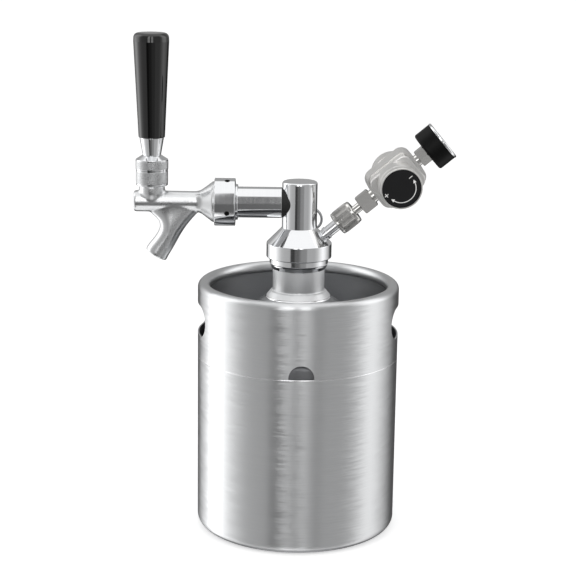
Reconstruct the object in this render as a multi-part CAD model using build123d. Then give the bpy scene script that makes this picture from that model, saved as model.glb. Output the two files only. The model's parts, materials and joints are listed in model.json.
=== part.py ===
from build123d import *
import math
import os

# Mini keg beer dispenser: a two litre steel keg with a screw-on tap head, a
# chrome faucet on the left (-X) and a gas regulator with a gauge on the right
# (+X).  Millimetres and degrees.  The origin is the centre of the keg's base,
# +Z is up, and the keg's drain notch faces the front (-Y).

os.makedirs("parts", exist_ok=True)

# ------------------------------------------------------------ driving sizes
# Keg
keg_radius = 67.0
sheet = 1.2  # wall of the pressed keg sheets
base_edge_radius = 6.0
base_foot_width = 9.0  # flat ring that the keg stands on
base_pad_radius = 32.0  # flat middle of the base
base_recess = 2.0  # depth of the ring pressed up between pad and foot
seam_height = 118.3  # where the collar is welded to the vessel
collar_height = 49.9  # seam to the crest of the rolled rim
collar_sheet = 1.0
rim_roll_radius = 4.0  # outside radius of the rolled rim
rim_lap = 3.0  # straight part of the rim below its roll
seam_chamfer = 0.35
hand_hole_width = 56.0
hand_hole_height = 20.7
hand_hole_rise = 25.7  # seam to the middle of the hand holes
notch_radius = 8.2  # drain notches, front and back: a round top on straight sides
notch_rise = 1.5  # seam to the middle of a notch's round top
notch_turn = 1.6  # degrees that the notches are turned about the keg's axis
dome_slope = 36.0
dome_lift = 7.5  # seam to the sharp corner that the dome's shoulder rounds
dome_shoulder_radius = 4.0
dome_skirt = 6.0  # part of the dome that sits inside the vessel
dome_hole_margin = 1.0  # dome's hole beyond the neck's bore

# Neck of the keg
neck_flange_radius = 21.2
neck_flange_rim = 0.6  # upright edge under the flange's cone
neck_flange_edge = 0.25
neck_ridge_width = 1.4  # neck's side to the ridge on top of the cone
neck_ridge_rise = 3.7
neck_ridge_edge = 0.8
neck_root_rise = 4.4
neck_root_radius = 1.2  # hollow round between the ridge and the neck's side
neck_radius = 17.2
neck_bore_radius = 14.0
neck_shoulder_rise = 19.78  # flange base to the start of the thread
neck_thread_radius = 16.4
neck_thread_height = 12.0
neck_seal_thickness = 2.0

# Tap head
head_hang = 0.7  # skirt below the start of the neck's thread
head_skirt_radius = 19.4
head_skirt_height = 7.2
head_skirt_bevel = 3.0
head_ring_radius = 21.6
head_ring_height = 9.7
head_cone_height = 10.3
head_radius = 11.6
head_column_height = 30.8
head_edge = 1.5
gas_chamber_radius = 13.0
gas_chamber_height = 3.0
gas_way_start = 11.0
relief_way_start = 13.0
liquid_bore_radius = 3.2
dip_tube_radius = 4.0
dip_tube_wall = 0.9
dip_tube_foot_gap = 4.0  # tube end to the inside of the base
dip_tube_seal_height = 1.8
dip_tube_seal_width = 2.4

# Shank and coupling
shank_drop = 14.4  # top of the head to the shank's axis
shank_radius = 10.2
shank_spigot_radius = 6.5
shank_bore_radius = 3.0
shank_spigot_length = 12.0
shank_spigot_root = 3.0  # depth of the spigot in the head's column
shank_face = 48.5  # head axis to the face that the faucet seats on
shank_flange_radius = 12.8
shank_flange_thickness = 2.9
valve_room_length = 6.5  # pocket in the shank behind the valve
valve_room_gap = 1.0
coupling_radius = 15.7
coupling_length = 13.7
coupling_wall = 2.3
coupling_lip = 2.6
coupling_back = 42.4  # head axis to the back of the coupling nut
spanner_hole_radius = 1.7
spanner_holes = 4
spanner_hole_angle = -19.0  # first hole, up from the front
spanner_hole_depth = 1.5
spanner_hole_place = 0.38  # of the nut's length, from its back
shank_ring_radius = 11.8
shank_ring_width = 1.7
gasket_thickness = 0.6
nut_gap = 0.4  # coupling nut to the faucet's flare

# Faucet
lever_reach = 97.2  # head axis to lever axis
faucet_nose = 12.0  # lever axis to the faucet's front end
nose_edge = 1.2
nose_wall = 2.5
barrel_radius = 7.0
barrel_waist_radius = 6.8
barrel_wall = 1.9
flare_radius = 14.0
flare_length = 9.6
flare_blend = 9.0
faucet_thread_radius = 13.1
faucet_neck_radius = 8.4
faucet_neck_root_radius = 5.6
faucet_neck_root_drop = 3.0
faucet_neck_blend_rise = 5.6
faucet_neck_blend = 3.0
faucet_neck_wall = 1.5
faucet_neck_rise = 10.7  # shank axis to the shoulder that the bonnet sits on
faucet_neck_thread_radius = 7.6
faucet_neck_thread_height = 4.7
spout_tilt = 30.0
spout_mouth_radius = 7.55
spout_bore_radius = 5.2
spout_bore_length = 38.0
spout_outlet_radius = 5.6
spout_outlet_length = 16.0
spout_drop = 36.1  # shank axis to the middle of the mouth
spout_back = 2.5  # lever axis to the middle of the mouth
spout_rounds = [(17.0, 7.15), (8.0, 7.3)]  # (distance up from the mouth, radius)
# Long sections where the spout grows out of the barrel: (lever axis to the
# section's middle, shank axis down to it, half length, half width, lean)
spout_roots = [
    (14.0, 1.5, 19.5, 6.5, 0.0),
    (14.5, 8.8, 14.2, 6.6, 0.0),
    (12.9, 15.7, 8.7, 7.0, 16.0),
]

# Lever mechanism
pivot_rise = 13.2  # shank axis to the lever's ball
ball_radius = 5.5
arm_radius = 1.9
arm_play = 0.5
tip_radius = 2.3
tip_play = 0.45
lever_stem_radius = 2.75
lever_thread_radius = 4.7
lever_swing = 30.0
bonnet_radius = 10.4
bonnet_height = 10.2
bonnet_roof = 1.7  # wall over the friction washer
seat_depth = 3.4  # lever's ball centre down to the foot of its seat
seat_hole_radius = 4.4
ball_play = 0.15
dome_gap = 0.3  # between the bonnet's ball dome and the collar's cup
collar_radius = 10.6
collar_top_rise = 30.3  # shank axis to the top of the lever collar
collar_cone_height = 2.5
collar_cone_top_radius = 6.7
ferrule_height = 12.0
ferrule_roof = 1.9  # wall between the stud and the handle
ferrule_bottom_radius = 5.9
ferrule_top_radius = 8.0
handle_height = 67.6
handle_bottom_radius = 8.6
handle_top_radius = 11.6
handle_crown = 5.5
handle_edge = 3.0
handle_crown_inset = 0.2
handle_crown_round = 2.0

# Valve in the faucet
plunger_head_radius = 4.8
plunger_head_length = 13.0
plunger_radius = 2.2
valve_seat_distance = 64.0  # head axis to the valve seat
valve_seat_radius = 4.0
valve_seat_land = 2.5
valve_chamber_radius = 9.0
valve_chamber_taper = 7.0  # length of the cone in front of the seat
valve_chamber_play = 0.8
valve_washer_radius = 5.4
valve_washer_thickness = 2.4
valve_nut_radius = 3.6
valve_nut_thickness = 2.2

# Gas line: its axis crosses the head's axis and climbs to the right
gas_angle = 40.0
gas_axis_rise = 8.35  # head's bottom to where the gas line crosses the head's axis
stub_radius = 3.9
stub_ring_start = 22.6
stub_ring_radius = 4.4
stub_ring_thickness = 2.0
stub_root = 19.0
stub_tip = 41.0
stub_bore_radius = 1.6
swivel_start = 32.6
swivel_length = 14.8
swivel_radius = 8.0
swivel_lip = 2.2
swivel_edge = 1.0
tail_radius = 3.0
tail_flange_radius = 5.0
tail_flange_thickness = 2.0
tail_spigot_length = 4.0  # part of a neck that sits in the rear casting
outlet_hex = 12.4  # across flats
outlet_start = 52.4
outlet_length = 9.8
outlet_neck_radius = 4.6

# Regulator
regulator_distance = 81.9  # head axis to the regulator's middle, along the gas line
regulator_roll = 8.5
regulator_length = 35.2
regulator_width = 27.0
regulator_corner = 6.5
casting_edge = 1.2
regulator_back = 8.0  # gas axis to the back of the rear casting
regulator_parting = 5.0  # gas axis to the face between the castings
front_length = 31.8
front_width = 25.4
front_height = 6.0
front_corner = 5.8
tower_radius = 13.8
tower_top = 20.2
port_boss_radius = 14.0
port_boss_height = 9.0
port_boss_edge = 1.5
cartridge_thread_radius = 4.76  # 3/8 in cartridge neck
cartridge_thread_length = 8.5
cartridge_seal_thickness = 1.0
cartridge_seal_radius = 4.2
cartridge_seal_hole_radius = 1.9
pin_radius = 1.3
pin_tip_radius = 0.5
pin_shoulder = 1.0  # seal to the pin's full width
diaphragm_radius = 11.0
diaphragm_thickness = 0.8
diaphragm_boss_radius = 4.0
diaphragm_boss_height = 0.8
poppet_radius = 3.2
poppet_head_height = 2.0
poppet_stem_radius = 1.0
poppet_spring_radius = 2.8
poppet_spring_wire = 0.8
rear_chamber_radius = 8.5
rear_chamber_depth = 8.0
spring_chamber_radius = 9.0
tower_roof = 1.6
port_bore_radius = 1.5
knob_gap = 0.4
knob_radius = 13.8
knob_height = 5.0
knob_face_radius = 12.8
knob_face_thickness = 1.0
knob_face_sink = 0.1
adjuster_radius = 2.5
adjuster_tip = 2.0  # face between the castings to the adjuster's end
spring_radius = 7.0
spring_wire = 1.4
spring_length = 6.0
button_radius = 8.6
button_travel = 3.1
button_roof = 1.4
button_skirt = 0.9
screw_radius = 1.5
screw_head_radius = 2.4
screw_head_height = 1.8
screw_inset = 4.0
screw_hole_roof = 1.5
screw_slot_length = 3.2
screw_slot_width = 0.7
screw_slot_depth = 0.7

# Gauge
gauge_neck_radius = 4.0
gauge_hex = 11.0
gauge_hex_start = 101.5
gauge_start = 108.2
gauge_radius = 13.8
gauge_depth = 12.0
gauge_edge = 1.6
gauge_wall = 1.2
gauge_back = 1.6
gauge_bore_radius = 1.0
gauge_socket_radius = 3.0
gauge_socket_rise = 1.0  # socket above the inside of the case's back
socket_block_width = 5.0
socket_block_height = 3.4
bezel_height = 1.6
bezel_radius = 14.0
bezel_window_radius = 11.8
lens_thickness = 1.0
dial_thickness = 0.5
dial_depth = 3.0  # bezel seat to the dial's face
pointer_length = 9.0
pointer_tail = 3.2
pointer_thickness = 0.4
pointer_half_width = 0.8
pointer_tail_half_width = 0.6
pointer_gap = 0.4  # dial to the pointer
pointer_rest_angle = 135.0
pointer_hub_radius = 1.6
pointer_hub_height = 0.8
arbor_radius = 0.6
arbor_reach = 1.3  # arbor below the dial
movement_plate_length = 9.0
movement_plate_width = 6.0
movement_plate_thickness = 1.2
movement_plate_gap = 0.2  # plate to the dial
movement_plate_offset = 1.0
movement_post_radius = 1.0
movement_post_offset = 1.9
bourdon_radius = 9.6
bourdon_thickness = 1.4
bourdon_width = 3.0
bourdon_rise = 1.2  # inside of the case's back to the tube
bourdon_sweep = 250.0

# Relief valve
relief_azimuth = 73.0
relief_angle = 44.0
relief_axis_rise = 6.05  # head's bottom to where the valve's axis crosses the head's
relief_radius = 4.2
relief_root = 20.5
relief_end = 36.5
relief_bore_radius = 2.9
relief_wall = 2.0  # under the seal
relief_roof = 1.5
relief_seal_thickness = 1.2
relief_stem_head = 2.2  # hole to the stem's end
relief_stem_radius = 1.9
relief_hole_distance = 41.0
relief_hole_radius = 1.35
relief_shoulder_radius = 2.15
relief_shoulder_thickness = 1.2
pull_ring_radius = 7.0
pull_wire_radius = 0.9

# Clearances
fit = 0.05  # running fit on radius
slack = 0.3  # between curved faces that move past each other

# Edges and cutters
fine_edge = 0.3
soft_edge = 0.5
round_edge = 0.8
hexagon_bevel = 0.6
over = 1.0  # cutters run this far past the face that they open

# ------------------------------------------------------------ worked-out places
dome_radius = keg_radius - sheet - fit
rim_height = seam_height + collar_height
dome_run = dome_radius - neck_flange_radius
dome_corner = seam_height + dome_lift
neck_base = dome_corner + dome_run * math.tan(math.radians(dome_slope))
neck_shoulder = neck_base + neck_shoulder_rise
neck_top = neck_shoulder + neck_thread_height
head_bottom = neck_shoulder - head_hang
skirt_top = head_bottom + head_skirt_height
ring_top = skirt_top + head_ring_height
cone_top = ring_top + head_cone_height
head_top = cone_top + head_column_height
seal_top = neck_top + neck_seal_thickness
gas_chamber_top = seal_top + gas_chamber_height
shank_height = head_top - shank_drop

pivot_height = shank_height + pivot_rise
bonnet_bottom = shank_height + faucet_neck_rise
bonnet_top = bonnet_bottom + bonnet_height
dome_ball = math.hypot(bonnet_radius, bonnet_top - pivot_height)
cup_ball = dome_ball + dome_gap
cup_edge = pivot_height + math.sqrt(cup_ball**2 - collar_radius**2)
collar_top = shank_height + collar_top_rise
ferrule_top = collar_top + ferrule_height
handle_top = ferrule_top + handle_height
tilt = math.radians(lever_swing)

gas_rise = math.radians(gas_angle)
gas_line = Plane(
    origin=(0, 0, head_bottom + gas_axis_rise),
    x_dir=(0, -1, 0),
    z_dir=(math.cos(gas_rise), 0, math.sin(gas_rise)),
)
roll = math.radians(regulator_roll)
regulator_frame = Plane(
    origin=gas_line.from_local_coords((0, 0, regulator_distance)),
    x_dir=gas_line.z_dir,
    z_dir=(
        math.sin(gas_rise) * math.sin(roll),
        -math.cos(roll),
        -math.cos(gas_rise) * math.sin(roll),
    ),
)
shank_line = Plane(origin=(0, 0, shank_height), x_dir=(0, -1, 0), z_dir=(-1, 0, 0))
relief_turn = math.radians(relief_azimuth)
relief_rise = math.radians(relief_angle)
relief_line = Plane(
    origin=(0, 0, head_bottom + relief_axis_rise),
    x_dir=(math.sin(relief_turn), -math.cos(relief_turn), 0),
    z_dir=(
        math.cos(relief_rise) * math.cos(relief_turn),
        math.cos(relief_rise) * math.sin(relief_turn),
        math.sin(relief_rise),
    ),
)
lever_axis = Pos(-lever_reach, 0, 0)


# ------------------------------------------------------------ helpers
def turned(*corners, sweep=360):
    """Solid turned about +Z from (radius, height[, corner radius]) corners."""
    points = [(corner[0], 0, corner[1]) for corner in corners]
    radii = [corner[2] if len(corner) > 2 else 0 for corner in corners]
    outline = FilletPolyline(*points, radius=radii, close=True)
    return revolve(make_face(outline), Axis.Z, sweep)


def rod(radius, low, high):
    """Cylinder about +Z between two heights."""
    return Pos(0, 0, (low + high) / 2) * Cylinder(radius, high - low)


def ring(outer, inner, low, high):
    """Flat-ended tube about +Z between two heights."""
    return rod(outer, low, high) - rod(inner, low - over, high + over)


def prism(sketch, low, high):
    """Upright prism of a sketch between two heights."""
    return Pos(0, 0, low) * extrude(sketch, high - low)


def hexagon(across_flats, low, high, bevel=hexagon_bevel):
    """Hexagon bar with turned-off corners at both ends."""
    flat = across_flats / 2
    corner = flat / math.cos(math.pi / 6)
    bar = prism(RegularPolygon(flat, 6, major_radius=False), low, high)
    blank = turned(
        (0, low),
        (flat, low),
        (corner, low + bevel),
        (corner, high - bevel),
        (flat, high),
        (0, high),
    )
    return bar & blank


def slab(points, half_width):
    """Prism with an outline in the XZ plane, as wide to both sides of it."""
    outline = Polyline(*[(x, 0, z) for x, z in points], close=True)
    return extrude(make_face(outline), half_width, both=True, dir=(0, 1, 0))


def on(plane, solid):
    """Solid made about +Z, set on a plane's own axes."""
    return plane.location * solid


def save(name, solid):
    """Write one node."""
    solid.label = name
    export_step(solid, f"parts/{name}.step")


# ------------------------------------------------------------ keg
def keg_vessel():
    foot_inner = keg_radius - base_edge_radius - base_foot_width
    recess_inner = base_pad_radius + base_recess
    recess_outer = foot_inner - base_recess
    inside = keg_radius - sheet
    return turned(
        (0, 0),
        (base_pad_radius, 0),
        (recess_inner, base_recess),
        (recess_outer, base_recess),
        (foot_inner, 0),
        (keg_radius, 0, base_edge_radius),
        (keg_radius, seam_height - seam_chamfer),
        (keg_radius - seam_chamfer, seam_height),
        (inside, seam_height),
        (inside, sheet, base_edge_radius - sheet),
        (foot_inner, sheet),
        (recess_outer, base_recess + sheet),
        (recess_inner, base_recess + sheet),
        (base_pad_radius, sheet),
        (0, sheet),
    )


def keg_dome():
    slope = math.radians(dome_slope)
    drop = sheet / math.cos(slope)
    inner = dome_radius - sheet
    hole = neck_bore_radius + dome_hole_margin
    return turned(
        (dome_radius, seam_height - dome_skirt),
        (dome_radius, dome_corner, dome_shoulder_radius),
        (neck_flange_radius, neck_base),
        (hole, neck_base),
        (hole, neck_base - sheet),
        (neck_flange_radius, neck_base - drop),
        (inner, dome_corner + sheet * math.tan(slope) - drop, dome_shoulder_radius - sheet),
        (inner, seam_height - dome_skirt),
    )


rim_start = rim_height - rim_roll_radius - rim_lap


def keg_collar():
    """Collar wall with its hand holes and drain notches."""
    outer = keg_radius
    wall = turned(
        (outer - collar_sheet, seam_height),
        (outer - seam_chamfer, seam_height),
        (outer, seam_height + seam_chamfer),
        (outer, rim_start),
        (outer - collar_sheet, rim_start),
    )
    hole = Plane.YZ * SlotOverall(hand_hole_width, hand_hole_height)
    wall -= Pos(0, 0, seam_height + hand_hole_rise) * extrude(
        hole, 2 * keg_radius, both=True
    )
    arch = Pos(0, notch_rise) * Circle(notch_radius)
    arch += Pos(0, (notch_rise - over) / 2) * Rectangle(2 * notch_radius, notch_rise + over)
    notches = Pos(0, 0, seam_height) * extrude(Plane.XZ * arch, 2 * keg_radius, both=True)
    return wall - Rot(0, 0, notch_turn) * notches


def keg_rim():
    """Rolled edge: a tube open towards the inside, on the collar's wall."""
    roll_x = keg_radius - rim_roll_radius
    roll_z = rim_height - rim_roll_radius
    skirt = Pos(keg_radius - collar_sheet / 2, (rim_start + roll_z) / 2) * Rectangle(
        collar_sheet, roll_z - rim_start
    )
    tube = Circle(rim_roll_radius) - Circle(rim_roll_radius - collar_sheet)
    open_quarter = Pos(rim_roll_radius, -rim_roll_radius) * Rectangle(
        2 * rim_roll_radius, 2 * rim_roll_radius
    )
    section = skirt + Pos(roll_x, roll_z) * (tube - open_quarter)
    return revolve(Plane.XZ * section, Axis.Z)


def keg_neck():
    ridge_radius = neck_radius + neck_ridge_width
    return turned(
        (neck_bore_radius, neck_base),
        (neck_flange_radius, neck_base),
        (neck_flange_radius, neck_base + neck_flange_rim, neck_flange_edge),
        (ridge_radius, neck_base + neck_ridge_rise, neck_ridge_edge),
        (neck_radius, neck_base + neck_root_rise, neck_root_radius),
        (neck_radius, neck_shoulder, fine_edge),
        (neck_thread_radius, neck_shoulder),
        (neck_thread_radius, neck_top, soft_edge),
        (neck_bore_radius, neck_top),
    )


# ------------------------------------------------------------ tap head
def tap_head():
    thread_bore = neck_thread_radius + slack
    head = turned(
        (0, head_bottom),
        (head_skirt_radius - head_skirt_bevel / 2, head_bottom),
        (head_skirt_radius, head_bottom + head_skirt_bevel, head_skirt_bevel),
        (head_skirt_radius, skirt_top),
        (head_ring_radius, skirt_top, round_edge),
        (head_ring_radius, ring_top, soft_edge),
        (head_radius, cone_top),
        (head_radius, head_top, head_edge),
        (0, head_top),
    )
    head -= rod(neck_radius + slack, head_bottom - over, neck_shoulder + slack)
    head -= rod(thread_bore, head_bottom - over, seal_top)
    head -= rod(gas_chamber_radius, seal_top - over, gas_chamber_top)
    head -= rod(dip_tube_radius + fit, gas_chamber_top - over, cone_top)
    head -= rod(liquid_bore_radius, cone_top - over, shank_height + shank_bore_radius)
    spigot_start = head_radius - shank_spigot_root
    spigot_end = head_radius + shank_spigot_length
    head += on(shank_line, rod(shank_spigot_radius, spigot_start, spigot_end))
    head -= on(shank_line, rod(shank_bore_radius, 0, spigot_end + over))
    head -= on(gas_line, rod(stub_radius + fit, stub_root, stub_tip))
    head -= on(gas_line, rod(stub_bore_radius, gas_way_start, stub_root + over))
    head -= on(relief_line, rod(relief_radius + fit, relief_root, relief_end))
    head -= on(relief_line, rod(stub_bore_radius, relief_way_start, relief_root + over))
    return head


def dip_tube():
    foot = sheet + dip_tube_foot_gap
    return ring(dip_tube_radius, dip_tube_radius - dip_tube_wall, foot, cone_top)


# ------------------------------------------------------------ shank
shank_end = shank_face - gasket_thickness
saddle_face = head_radius + slack


def shank_seal():
    saddle = rod(shank_radius - slack, 0, saddle_face)
    saddle -= rod(shank_spigot_radius + fit, -over, saddle_face + over)
    return on(shank_line, saddle) - rod(head_radius + fit, 0, 2 * head_top)


def shank_tube():
    flange_back = shank_end - shank_flange_thickness
    spigot_end = head_radius + shank_spigot_length
    valve_room = shank_end - valve_room_length
    tube = turned(
        (0, saddle_face),
        (shank_radius, saddle_face, fine_edge),
        (shank_radius, flange_back),
        (shank_flange_radius, flange_back),
        (shank_flange_radius, shank_end),
        (0, shank_end),
    )
    tube -= rod(shank_spigot_radius + fit, saddle_face - over, spigot_end + slack)
    tube -= rod(shank_bore_radius, spigot_end, shank_end + over)
    tube -= rod(valve_washer_radius + valve_room_gap, valve_room, shank_end + over)
    return on(shank_line, tube)


def shank_ring():
    start = coupling_back - shank_ring_width
    inner = shank_radius + fit
    return on(
        shank_line,
        turned(
            (inner, start),
            (shank_ring_radius, start, soft_edge),
            (shank_ring_radius, coupling_back - fit, fine_edge),
            (inner, coupling_back - fit),
        ),
    )


def coupling_gasket():
    return on(
        shank_line,
        ring(shank_flange_radius, valve_chamber_radius, shank_end, shank_face),
    )


def coupling_nut():
    front = coupling_back + coupling_length
    lip_end = coupling_back + coupling_lip
    bore = coupling_radius - coupling_wall
    nut = turned(
        (shank_radius + slack, coupling_back),
        (coupling_radius, coupling_back, soft_edge),
        (coupling_radius, front, soft_edge),
        (bore, front),
        (bore, lip_end),
        (shank_radius + slack, lip_end),
    )
    hole_place = coupling_back + spanner_hole_place * coupling_length
    for index in range(spanner_holes):
        angle = spanner_hole_angle + index * 360 / spanner_holes
        hole = Rot(0, 0, angle) * Pos(coupling_radius, 0, hole_place)
        nut -= hole * Rot(0, 90, 0) * Cylinder(spanner_hole_radius, 2 * spanner_hole_depth)
    return on(shank_line, nut)


# ------------------------------------------------------------ faucet
def spout_section(distance, radius):
    """Round section square to the spout, this far up from its mouth."""
    slope = math.radians(spout_tilt)
    centre = (
        -lever_reach + spout_back + distance * math.sin(slope),
        0,
        shank_height - spout_drop + distance * math.cos(slope),
    )
    plane = Plane(centre, x_dir=(0, 1, 0), z_dir=(-math.sin(slope), 0, -math.cos(slope)))
    return plane * Circle(radius)


def spout_root(along, drop, half_length, half_width, lean):
    """Long section under the barrel, where the spout grows out of it."""
    slope = math.radians(lean)
    plane = Plane(
        (-lever_reach + along, 0, shank_height - drop),
        x_dir=(0, 1, 0),
        z_dir=(-math.sin(slope), 0, -math.cos(slope)),
    )
    return plane * Ellipse(half_width, half_length)


def faucet_casting():
    """Barrel, flare, bonnet neck and the spout's lofted outside."""
    nose = lever_reach + faucet_nose
    flare_end = coupling_back + coupling_length + nut_gap
    flare_start = flare_end + flare_length
    barrel = on(
        shank_line,
        turned(
            (0, shank_face),
            (faucet_thread_radius, shank_face),
            (faucet_thread_radius, flare_end),
            (flare_radius, flare_end, fine_edge),
            (barrel_waist_radius, flare_start, flare_blend),
            (barrel_radius, lever_reach),
            (barrel_radius, nose, nose_edge),
            (0, nose),
        ),
    )
    sections = [spout_root(*root) for root in spout_roots]
    sections += [spout_section(*section) for section in spout_rounds]
    sections += [spout_section(0.0, spout_mouth_radius)]
    spout = loft(sections)
    neck_root = shank_height - faucet_neck_root_drop
    neck = turned(
        (0, neck_root),
        (faucet_neck_root_radius, neck_root),
        (faucet_neck_radius, shank_height + faucet_neck_blend_rise, faucet_neck_blend),
        (faucet_neck_radius, bonnet_bottom, fine_edge),
        (faucet_neck_thread_radius, bonnet_bottom),
        (faucet_neck_thread_radius, bonnet_bottom + faucet_neck_thread_height),
        (0, bonnet_bottom + faucet_neck_thread_height),
    )
    return barrel + spout + lever_axis * neck


seat_radius = faucet_neck_thread_radius - faucet_neck_wall
seat_floor = pivot_height - seat_depth
arm_room = arm_radius + arm_play
ball_room = ball_radius + ball_play


def faucet_body():
    bore = barrel_radius - barrel_wall
    nose_inside = lever_reach + faucet_nose - nose_wall
    seat_end = valve_seat_distance + valve_seat_land
    mouth = shank_face - over
    body = faucet_casting()
    body -= on(shank_line, rod(bore, seat_end, nose_inside))
    body -= on(shank_line, rod(valve_seat_radius, mouth, seat_end + over))
    chamber = turned(
        (0, mouth),
        (valve_chamber_radius, mouth),
        (valve_chamber_radius, valve_seat_distance - valve_chamber_taper),
        (valve_washer_radius + valve_chamber_play, valve_seat_distance),
        (0, valve_seat_distance),
    )
    body -= on(shank_line, chamber)
    slope = math.radians(spout_tilt)
    spout_axis = Plane(
        (-lever_reach + spout_back, 0, shank_height - spout_drop),
        x_dir=(0, 1, 0),
        z_dir=(math.sin(slope), 0, math.cos(slope)),
    )
    body -= on(spout_axis, rod(spout_bore_radius, -over, spout_bore_length))
    body -= on(spout_axis, rod(spout_outlet_radius, -over, spout_outlet_length))
    top = bonnet_bottom + faucet_neck_thread_height + over
    body -= lever_axis * rod(seat_radius, seat_floor, top)
    body -= Pos(-lever_reach, 0, pivot_height) * Sphere(ball_radius + slack)
    room = slab(
        [
            (-arm_room, 0),
            (-arm_room, -pivot_rise),
            (pivot_rise * math.tan(tilt) + 2 * arm_room, -pivot_rise),
            (arm_room, 0),
        ],
        arm_room,
    )
    return body - Pos(-lever_reach, 0, pivot_height) * room


def ball_seat():
    seat = lever_axis * rod(seat_radius - fit, seat_floor, pivot_height)
    ball = Pos(-lever_reach, 0, pivot_height) * Sphere(ball_room)
    return seat - ball - lever_axis * rod(seat_hole_radius, seat_floor - over, pivot_height)


def friction_washer():
    low = bonnet_bottom + faucet_neck_thread_height + fit
    high = bonnet_top - bonnet_roof
    washer = lever_axis * rod(faucet_neck_thread_radius, low, high)
    ball = Pos(-lever_reach, 0, pivot_height) * Sphere(ball_room)
    hole = lever_axis * rod(seat_hole_radius, low - over, high + over)
    return washer - ball - hole - stem_room()


def stem_room():
    """Slot in the bonnet's dome for the lever's stem."""
    half = lever_stem_radius + slack
    reach = 2 * dome_ball
    leaning_half = half / math.cos(tilt)
    outline = [
        (half, 0),
        (half, reach),
        (-reach * math.sin(tilt) - leaning_half, reach * math.cos(tilt)),
        (-leaning_half, 0),
    ]
    return Pos(-lever_reach, 0, pivot_height) * slab(outline, half)


def bonnet():
    inside = faucet_neck_thread_radius + fit
    body = turned(
        (0, bonnet_bottom),
        (bonnet_radius, bonnet_bottom, soft_edge),
        (bonnet_radius, bonnet_top + 2 * dome_ball),
        (0, bonnet_top + 2 * dome_ball),
    )
    body = lever_axis * body & Pos(-lever_reach, 0, pivot_height) * Sphere(dome_ball)
    body -= lever_axis * rod(inside, bonnet_bottom - over, bonnet_top - bonnet_roof + fit)
    return body - stem_room()


def lever():
    """Ball with the arm and tip below it and the threaded stem above it."""
    stem_top = pivot_height + cup_ball + slack
    thread_top = ferrule_top - ferrule_roof - 2 * fit
    ball = Pos(0, 0, pivot_height) * Sphere(ball_radius)
    tip = Pos(0, 0, shank_height) * Sphere(tip_radius)
    arm = rod(arm_radius, shank_height, pivot_height)
    stem = rod(lever_stem_radius, pivot_height, stem_top)
    stud = rod(lever_thread_radius, stem_top, thread_top)
    return lever_axis * (ball + tip + arm + stem + stud)


def lever_collar():
    body = turned(
        (0, pivot_height),
        (collar_radius, pivot_height),
        (collar_radius, collar_top - collar_cone_height, fine_edge),
        (collar_cone_top_radius, collar_top),
        (0, collar_top),
    )
    body -= Pos(0, 0, pivot_height) * Sphere(cup_ball)
    body -= rod(lever_thread_radius + fit, pivot_height, collar_top + over)
    return lever_axis * body


def ferrule():
    body = turned(
        (0, collar_top),
        (ferrule_bottom_radius, collar_top, fine_edge),
        (ferrule_top_radius, ferrule_top, fine_edge),
        (0, ferrule_top),
    )
    socket = rod(lever_thread_radius + fit, collar_top - over, ferrule_top - ferrule_roof)
    return lever_axis * (body - socket)


def handle():
    """Tapered grip with a rounded crown over its widest place."""
    crown_start = handle_top - handle_crown
    body = turned(
        (0, ferrule_top),
        (handle_bottom_radius, ferrule_top, soft_edge),
        (handle_top_radius, crown_start, handle_crown_round),
        (handle_top_radius - handle_crown_inset, handle_top, handle_edge),
        (0, handle_top),
    )
    return lever_axis * body


# ------------------------------------------------------------ faucet valve
def plunger():
    start = lever_reach - plunger_head_length / 2
    seat = valve_seat_distance
    stem_end = seat - valve_washer_thickness - valve_nut_thickness
    shaft = turned(
        (0, stem_end),
        (plunger_radius, stem_end),
        (plunger_radius, start),
        (plunger_head_radius, start, fine_edge),
        (plunger_head_radius, start + plunger_head_length, fine_edge),
        (0, start + plunger_head_length),
    )
    shaft = on(shank_line, shaft)
    rise = plunger_head_radius + over
    room = tip_radius + tip_play
    pocket = slab(
        [
            (room, 0),
            (room, rise),
            (-rise * math.tan(tilt) - arm_radius / math.cos(tilt) - tip_play, rise),
            (-room, 0),
        ],
        room,
    )
    hole = rod(room, -rise, rise)
    return shaft - Pos(-lever_reach, 0, shank_height) * (pocket + hole)


def valve_washer():
    low = valve_seat_distance - valve_washer_thickness
    return on(
        shank_line,
        ring(valve_washer_radius, plunger_radius + fit, low, valve_seat_distance),
    )


def valve_nut():
    high = valve_seat_distance - valve_washer_thickness
    low = high - valve_nut_thickness
    nut = hexagon(2 * valve_nut_radius, low, high, bevel=fine_edge)
    return on(shank_line, nut - rod(plunger_radius + fit, low - over, high + over))


# ------------------------------------------------------------ gas inlet
swivel_end = swivel_start + swivel_length
tail_start = stub_tip + slack


def gas_stub():
    """Tube screwed into the head's cone, with a stop ring and a nose."""
    ring_end = stub_ring_start + stub_ring_thickness
    body = turned(
        (stub_bore_radius, stub_root),
        (stub_radius, stub_root),
        (stub_radius, stub_ring_start),
        (stub_ring_radius, stub_ring_start, fine_edge),
        (stub_ring_radius, ring_end, fine_edge),
        (stub_radius, ring_end),
        (stub_radius, stub_tip, soft_edge),
        (stub_bore_radius, stub_tip),
    )
    return on(gas_line, body) - head_cone_solid()


def head_cone_solid():
    """Outside of the head's ring and cone, with the stub's own bore in it."""
    cone = turned(
        (0, skirt_top),
        (head_ring_radius, skirt_top),
        (head_ring_radius, ring_top),
        (head_radius, cone_top),
        (0, cone_top),
    )
    return cone - on(gas_line, rod(stub_radius + fit, stub_root, stub_tip))


def swivel_nut():
    """Nut that draws the regulator's tail onto the stub."""
    nut = turned(
        (tail_radius + slack, swivel_end),
        (tail_radius + slack, swivel_end - swivel_lip),
        (tail_flange_radius + slack, swivel_end - swivel_lip),
        (tail_flange_radius + slack, tail_start - slack),
        (stub_radius + slack, tail_start - slack),
        (stub_radius + slack, swivel_start),
        (swivel_radius, swivel_start, swivel_edge),
        (swivel_radius, swivel_end, swivel_edge),
    )
    return on(gas_line, nut)


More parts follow.
